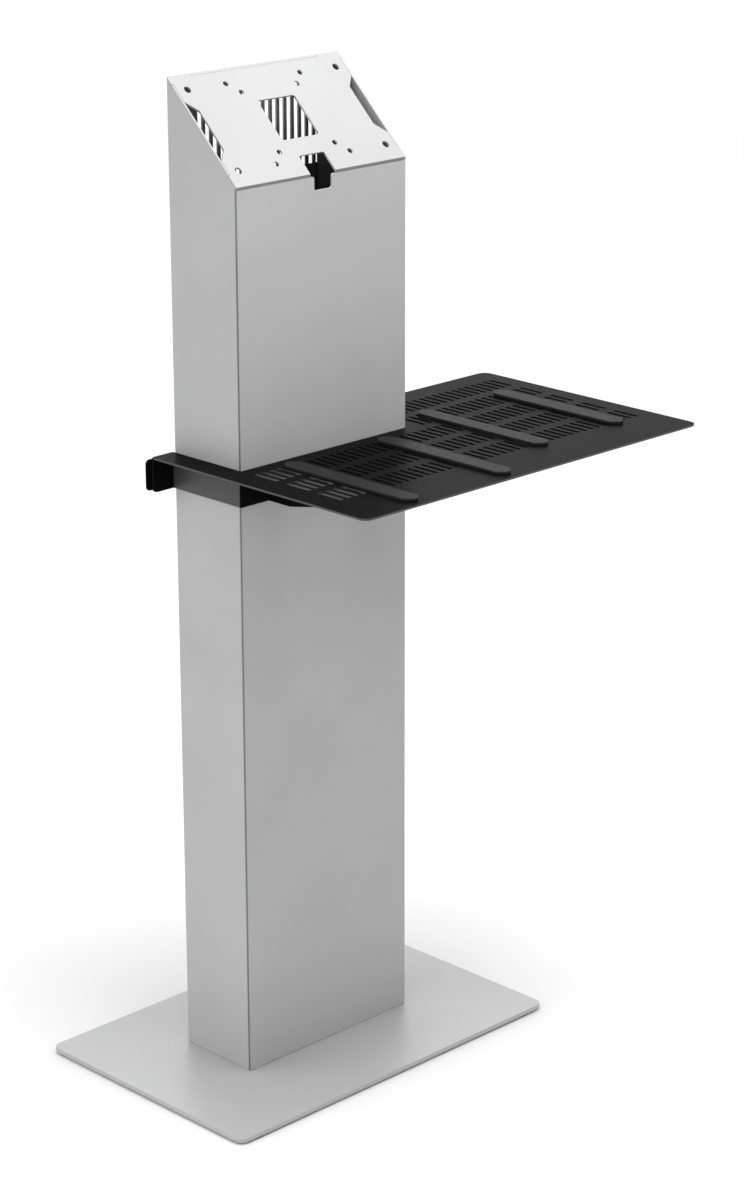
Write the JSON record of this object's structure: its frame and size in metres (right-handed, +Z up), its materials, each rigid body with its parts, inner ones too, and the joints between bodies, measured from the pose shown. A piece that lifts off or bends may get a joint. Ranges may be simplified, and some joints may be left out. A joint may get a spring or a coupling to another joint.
{
  "type": "display stand with clamped equipment shelf",
  "caption": "Sheet-metal floor column on a flat base plate, with a sloping screen-mounting head and a perforated shelf clamped round it that slides up and down.",
  "frame": {"origin": "on the floor, under the centre of the base plate", "axes": "+Z up along the column, +X to the right, -Y towards the person who uses the screen"},
  "size_m": [0.566, 0.3985, 1.0411],
  "materials": {
    "light_powder_coat": "fine satin light grey powder coat",
    "black_powder_coat": "fine matt black powder coat",
    "black_rubber": "matt black rubber",
    "grey_rubber": "matt dark grey rubber",
    "zinc_steel": "bright zinc plating"
  },
  "bodies": {
    "column": {"base_plate": "light_powder_coat", "foot_pad_1": "black_rubber", "foot_pad_2": "black_rubber", "foot_pad_3": "black_rubber", "foot_pad_4": "black_rubber", "foot_plate": "light_powder_coat", "foot_screw_1": "zinc_steel", "foot_screw_2": "zinc_steel", "foot_screw_3": "zinc_steel", "foot_screw_4": "zinc_steel", "foot_nut_1": "zinc_steel", "foot_nut_2": "zinc_steel", "foot_nut_3": "zinc_steel", "foot_nut_4": "zinc_steel", "side_left": "light_powder_coat", "side_right": "light_powder_coat", "front_panel": "light_powder_coat", "panel_hook_1": "light_powder_coat", "panel_hook_2": "light_powder_coat", "panel_hook_3": "light_powder_coat", "panel_hook_4": "light_powder_coat", "rear_panel": "light_powder_coat", "rear_screw_1": "zinc_steel", "rear_screw_2": "zinc_steel", "rear_screw_3": "zinc_steel", "rear_screw_4": "zinc_steel", "rear_screw_5": "zinc_steel", "rear_screw_6": "zinc_steel", "head_plate": "light_powder_coat"},
    "shelf": {"shelf_plate": "black_powder_coat", "grip_strip_1": "grey_rubber", "grip_strip_2": "grey_rubber", "grip_strip_3": "grey_rubber", "grip_strip_4": "grey_rubber", "collar_left": "black_powder_coat", "collar_right": "black_powder_coat", "collar_rail": "black_powder_coat", "rib_left": "black_powder_coat", "rib_right": "black_powder_coat", "rib_far_front": "black_powder_coat", "rib_far_rear": "black_powder_coat", "clamp_nut_left": "black_powder_coat", "clamp_nut_right": "black_powder_coat"},
    "clamp": {"rear_clamp": "black_powder_coat", "clamp_screw_left": "zinc_steel", "clamp_screw_right": "zinc_steel"}
  },
  "joints": [
    {"name": "shelf_height", "type": "slide", "parent": "column", "child": "shelf", "axis": [0, 0, 1], "range_m": [-0.56, 0.22]},
    {"name": "clamp_release", "type": "slide", "parent": "shelf", "child": "clamp", "axis": [0, 1, 0], "range_m": [0, 0.006]}
  ]
}
